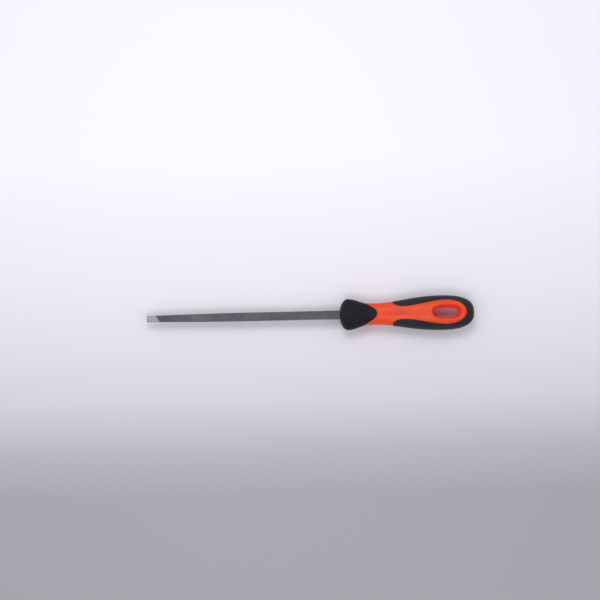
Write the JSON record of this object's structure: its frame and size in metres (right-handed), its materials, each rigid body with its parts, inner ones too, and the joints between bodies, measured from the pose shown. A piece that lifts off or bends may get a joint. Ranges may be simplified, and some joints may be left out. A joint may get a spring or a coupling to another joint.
{
  "type": "flat file",
  "caption": "Slim flat hand file with a tapered cross-cut blade and a moulded handle with soft grip zones and a hanging slot.",
  "frame": {"origin": "on the tool's axis, halfway along its overall length and halfway through its width and thickness", "axes": "+X from the blade's tip towards the handle's butt, +Y across the blade's width, +Z normal to the blade's flat working faces"},
  "size_m": [0.258, 0.0274, 0.0226],
  "materials": {
    "blade_steel": "hardened dark grey cut teeth, with a brighter uncut tip",
    "core_plastic": "satin orange-red moulded plastic",
    "collar_rubber": "black soft-touch elastomer with a fine matt grain",
    "grip_rubber": "black soft-touch elastomer with a fine matt grain"
  },
  "bodies": {
    "root": {"blade": "blade_steel", "handle_core": "core_plastic", "front_collar": "collar_rubber", "rear_grip": "grip_rubber"}
  },
  "joints": []
}
